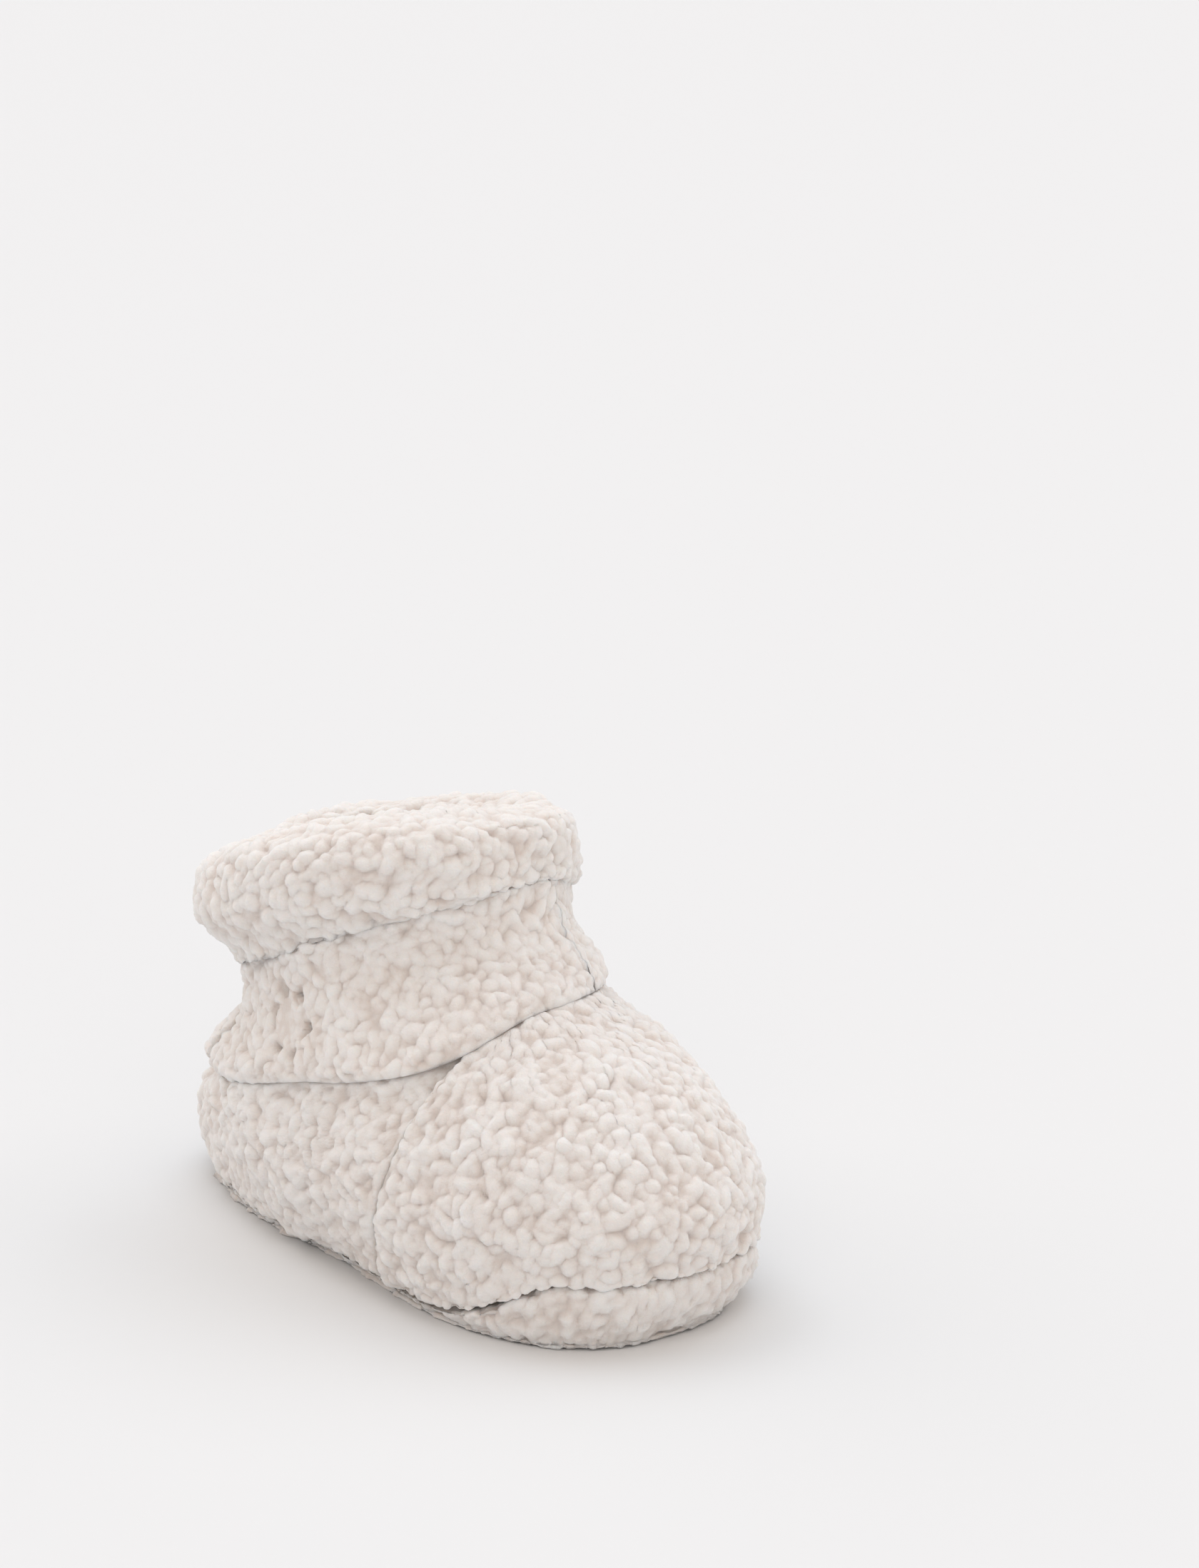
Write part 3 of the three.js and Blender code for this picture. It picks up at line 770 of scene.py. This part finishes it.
# ---- linings and elastic -----------------------------------------------------------------------
foot_depth = PANEL + GAP + 0.15
for name, node, low_edge, start, end, depth, length, width in (
        ("toe_lining", "vamp_lining", 1.68, toe_start, toe_end, foot_depth, 66, 108),
        ("heel_lining", "quarter_lining", 1.68, heel_start, heel_end, foot_depth + 0.35, 44, 150)):
    p, full, _, _, v = panel_grid(const(low_edge), foot_high, start, end, depth, depth + LINING,
                                  length, width, fine=0.9, inner=True)
    p, shade = furry(p, full * 0.5, v)
    stands_for(closed(name, p, shade, soft, v), node)
shaft_depth = PANEL + SHAFT_GAP
p, full, _, _, _ = panel_grid(shaft_low, shaft_high, const(0.0), const(FULL), shaft_depth,
                              shaft_depth + LINING, 17, 140, fine=0.7, wrap=True, inner=True)
p, shade = furry(p, full * 0.5)
stands_for(closed("shaft_lining_fleece", p, shade, soft), "shaft_lining")

p, full, angle, k, v = panel_grid(const(7.6), const(8.2), const(0.7 * math.pi), const(1.3 * math.pi),
                                  PANEL + GAP, PANEL + GAP + 0.8, 5.5, 70, fine=0.4, dip=0)
ribs = 0.12 * np.sin(np.linspace(0, 1, p.shape[0])[:, None] * FULL * 44) * full
p = pushed(p, angle, k, ribs)
stands_for(closed("elastic_tape", p, full * 0.5, webbing, v), "ankle_elastic")

# ---- collar: a soft roll hanging lower towards the heel ----------------------------------------
angles = ring_angles(200)
rim = surface(angles, SHAFT_TOP)
out = normal(angles, SHAFT_TOP)
out[..., 2] = 0
out = unit(out)
leg = rim[:, 2] - surface(angles, high_k(angles))[:, 2] - 1
flare = 0.85 - 0.45 * np.cos(angles + 0.5)
COLLAR = [    # outwards, upwards, share of the drop
    (-3.6, 1.5, 0), (-7.0, 2.2, 0), (-6.8, 4.2, 0), (-4.4, 6.6, 0), (-0.5, 7.4, 0), (4.2, 6.1, 0),
    (7.2, 2.2, 0), (8.0, -1.5, 0.3), (6.9, -0.6, 0.75), (4.4, 0.0, 1), (2.0, 0.0, 0.97), (1.1, 0.4, 0)]
front, corner = bump(angles, -0.1, 1.3), bump(angles, -1.0, 0.95)
near, merge, rear = bump(angles, 1.3, 0.6), bump(angles, 2.0, 1.1), bump(angles, 2.65, 0.7)
sway = 2.0 * near - 2.4 * rear - 2.8 * corner
rows = []
for outwards, upwards, drop in COLLAR:
    if outwards > 2:
        reach = 2 + (outwards - 2) * flare * (1 - 0.6 * merge * (drop > 0.5) - 0.3 * front * (drop > 0.2))
    else:
        reach = outwards * (1 + 2.0 * front * (outwards < -2))
    ring = rim + out * np.broadcast_to(reach, angles.shape)[:, None]
    ring[:, 2] += upwards - drop * (leg + 2.4 - 3.0 * front + 0.8 * merge) + sway * (1 - drop)
    rows.append(ring)
p, t = smooth_path(rows, [0.8] + [GRAIN] * 9 + [1.0, 1.4], loop=True)
fade = np.interp(t, [0, 0.8, 9.2, 10, 12], [0.3, 1, 1, 0.15, 0.15])
n = grid_normals(p, True, True)
n = n if (n[:, :, 2] * (t > 3) * (t < 5)).sum() > 0 else -n
p = p + n * (lumps(p, 15.0, 1.1, 8) * fade)[..., None]
p, shade = furry(p, fade, size=TUFT * 1.05, seed=7, height=PILE * 1.1)
stands_for(closed("collar_fleece", p, shade, soft), "collar_roll")

# ---- ankle band and its flap -------------------------------------------------------------------
band_inner = -(2 * GAP + FACING + 0.15)
patch = FULL + BAND_PATCH


def band_grid(thick, inner, fine, lift, coarse=9):
    """The whole band from its sewn end round to the flap's free end."""
    facing = thick < BAND_HEM
    v, depth, full = profile(BAND_WIDTH, thick, fine, coarse, 0 if facing else 1.8)
    nu = int(round(BAND_LENGTH / fine))
    angle = np.linspace(BAND_START, FULL + FLAP_END, nu)
    split = int(np.argmin(np.abs(angle - patch)))
    rise = bump(angle, -0.1, 1.3)
    low = low_k(angle)[:, None] + (0.22 if facing else 0)
    high = high_k(angle)[:, None] - lift + 0.35 * rise[:, None]
    k = low + (high - low) * v
    hem = np.clip(v / 0.3, 0, 1)
    share = 1 if facing else (BAND_HEM + (BAND_TOP - BAND_HEM) * hem * (2 - hem)) / BAND_TOP
    depths = np.broadcast_to(inner - (thick - depth) * share, k.shape)
    angle = np.broadcast_to(angle[:, None], k.shape)
    return inside(angle, k, depths), np.broadcast_to(full, k.shape), angle, k, split, v


p, full, angle, k, split, v = band_grid(BAND_TOP, band_inner, GRAIN, 0.14)
radius, _ = from_snap(p)
arms = p - snap_at
east = unit(np.cross(snap_axis, [0, 0, 1]))
north = np.cross(east, snap_axis)
bearing = np.arctan2(arms @ north, arms @ east)
pit = np.exp(-((radius - PIT_RADIUS) / 1.1)**2) * (0.5 + 0.5 * np.cos(PITS * bearing + 0.8))**1.3
pull = 1.2 * np.exp(-(radius / 8.0)**2) + PIT_DEPTH * pit + 0.2 * np.exp(-(radius / 2.2)**2)
p = pushed(p, angle, k, (lumps(p, 12.0, 0.75, 21) - pull) * full - pressed(p, angle, angle * 0 + 9))
p, shade = furry(p, full * (1 - 0.45 * np.exp(-(radius / 3.6)**4)), v)
# painted shade: a slightly darker dimple round the snap and dark pits in the gathers round it
shade = shade - 0.12 * np.exp(-(radius / 5.5)**4) - 0.9 * pit
radius, height = from_snap(p)
short = np.clip(SKIN_OVER_SNAP - height, 0, 9) * (radius < SNAP_COVER) * (full > 0.3)
p = p + snap_axis * short[..., None]
band = closed("band_fleece", p[:split + 1], shade[:split + 1], fleece, v)
stands_for(band, "band_outer")
flap = closed("flap_fleece", p[split:], shade[split:], fleece, v)

q, full, angle, k, split, v = band_grid(FACING, -GAP, 1.3, 0.14, 14)
shade = full * 0.6
q = pushed(q, angle, k, -pressed(q, angle, angle * 0 + 9))
band_back = closed("band_backing", q[:split + 1], shade[:split + 1], jersey, v)
stands_for(band_back, "band_facing")
flap_back = closed("flap_backing", q[split:], shade[split:], jersey, v)


# ---- threads -----------------------------------------------------------------------------------
def thread(name, path, node, radius=0.25, loop=False, twist=2.4):
    """Two-ply sewing thread along a row of points."""
    ahead = (np.roll(path, -1, 0) - np.roll(path, 1, 0)) if loop else np.gradient(path, axis=0)
    ahead = unit(ahead)
    side = unit(np.cross(ahead, [0.3, 0.1, 1.0]))
    up = np.cross(ahead, side)
    s = np.concatenate([[0], np.cumsum(np.linalg.norm(np.diff(path, axis=0), axis=1))])
    turns = round(s[-1] / twist)
    a = np.linspace(0, FULL, 12, endpoint=False)
    spin = s[:, None] / s[-1] * turns * math.pi
    r = radius * (0.72 + 0.28 * np.abs(np.cos(a[None] - spin)))
    p = (path[:, None] + side[:, None] * (np.cos(a) * r)[..., None]
         + up[:, None] * (np.sin(a) * r)[..., None])
    v = None if loop else np.cos(a)
    piece = closed(name, p, np.full(p.shape[:2], 0.5), cotton, v)
    return stands_for(piece, node)


groove = PANEL / 2
a = ring_angles(300, 0.5)
thread("sole_stitch", inside(a, rand_edge(a) + groove_step(a) / 2, np.full(len(a), groove)),
       "sole_seam", loop=True)
k = np.linspace(RAND_LOW + 0.7, UPPER_HIGH - 0.5, 100)
for name, node, side in (("outer_stitch", "side_seam_outer", 1), ("inner_stitch", "side_seam_inner", -1)):
    thread(name, inside(side * seam_angle(k), k, np.full(len(k), groove)), node)

# ---- snap: the metal parts are the CAD's own ---------------------------------------------------
for node in ("snap_stud", "snap_post", "snap_socket", "snap_cap"):
    part = frame["nodes"][node]
    part.data.materials.clear()
    part.data.materials.append(metal)

# ---- the flap's pieces: left unattached, with their placement baked in -------------------------
joint = frame["joints"][0]
axis = unit(np.array(joint["axis"]))
along = surface(FOLD + 0.01, 7.0) - surface(FOLD - 0.01, 7.0)
along = unit(along - (along @ axis) * axis)
for piece, node, slot_name, fill in ((flap, "flap_outer", "fleece", 0.4),
                                     (flap_back, "flap_facing", "lining", None)):
    stands_for(piece, node, body=None)
    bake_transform(piece)

# ---- floor, light and camera -------------------------------------------------------------------
# the floor is a wide paper dish, so that low views look onto paper too; in metres
SIDES = 64
rings = [(3.0, 0.0), (4.0, 0.04), (5.0, 0.25), (5.8, 0.7), (6.2, 1.4)]    # radius, height
turns = [FULL * i / SIDES for i in range(SIDES)]
dish = [tuple(range(SIDES))]
for n in range(len(rings) - 1):
    start, above = n * SIDES, (n + 1) * SIDES
    dish += [(start + i, above + i, above + (i + 1) % SIDES, start + (i + 1) % SIDES)
             for i in range(SIDES)]
floor_mesh = bpy.data.meshes.new("floor")
floor_mesh.from_pydata([(r * math.cos(a), r * math.sin(a), z) for r, z in rings for a in turns], [], dish)
floor_mesh.polygons.foreach_set("use_smooth", [True] * len(floor_mesh.polygons))
floor = bpy.data.objects.new("floor", floor_mesh)
bpy.context.scene.collection.objects.link(floor)
paper, nodes, links, shader = new_material("paper")
grain = nodes.new("ShaderNodeTexNoise")
grain.inputs["Scale"].default_value = 3.0
tone = ramp(nodes, [(0.3, (0.755, 0.761, 0.765)), (0.7, (0.765, 0.771, 0.775))])
links.new(grain.outputs["Fac"], tone.inputs["Fac"])
links.new(tone.outputs["Color"], shader.inputs["Base Color"])
shader.inputs["Roughness"].default_value = 1.0
shader.inputs["Specular IOR Level"].default_value = 0.0
floor_mesh.materials.append(paper)

WARM, COOL = (1.06, 0.985, 0.93), (0.84, 1.01, 1.19)
world = bpy.data.worlds.new("studio")
bpy.context.scene.world = world
world.use_nodes = True
world.node_tree.nodes["Background"].inputs["Color"].default_value = (*WARM, 1)
world.node_tree.nodes["Background"].inputs["Strength"].default_value = 0.52


def sun(name, azimuth, elevation, strength, spread, colour):
    """A soft light; its azimuth is counted from the toe's +X towards +Y, in degrees."""
    lamp = bpy.data.lights.new(name, "SUN")
    lamp.energy, lamp.angle, lamp.color = strength, math.radians(spread), colour
    source = bpy.data.objects.new(name, lamp)
    az, el = math.radians(azimuth), math.radians(elevation)
    to = Vector((math.cos(az) * math.cos(el), math.sin(az) * math.cos(el), math.sin(el)))
    source.rotation_euler = to.to_track_quat("Z", "Y").to_euler()
    bpy.context.scene.collection.objects.link(source)


sun("key", 143, 66, 0.85, 55, COOL)
sun("left", 200, 42, 0.7, 60, WARM)
sun("right", 70, 42, 0.45, 60, WARM)
sun("fill", -37, 45, 0.6, 60, WARM)

# the camera stands at the photo's angle, and aims above and beside the bootie as the photo does
azimuth, elevation, roll = math.radians(53), math.radians(21), math.radians(0.33)
distance, focal, aim_right, aim_up = 1150.0, 154.5, 20.5, 78.5
back = Vector((math.sin(azimuth) * math.cos(elevation), -math.cos(azimuth) * math.cos(elevation),
               math.sin(elevation)))
right = Vector((math.cos(azimuth), math.sin(azimuth), 0))
up = back.cross(right)
centre = Vector(ORIGIN)
spot = centre + back * distance
aim = centre + right * aim_right + up * aim_up
camera_data = bpy.data.cameras.new("camera")
camera_data.lens, camera_data.clip_start, camera_data.clip_end = focal, 0.05, 30
camera = bpy.data.objects.new("camera", camera_data)
camera.location = spot * MM
look = (spot - aim).to_track_quat("Z", "Y")
camera.rotation_euler = (look @ Quaternion((0, 0, 1), roll)).to_euler()
bpy.context.scene.collection.objects.link(camera)
bpy.context.scene.camera = camera
bpy.context.scene.view_settings.view_transform = "Standard"
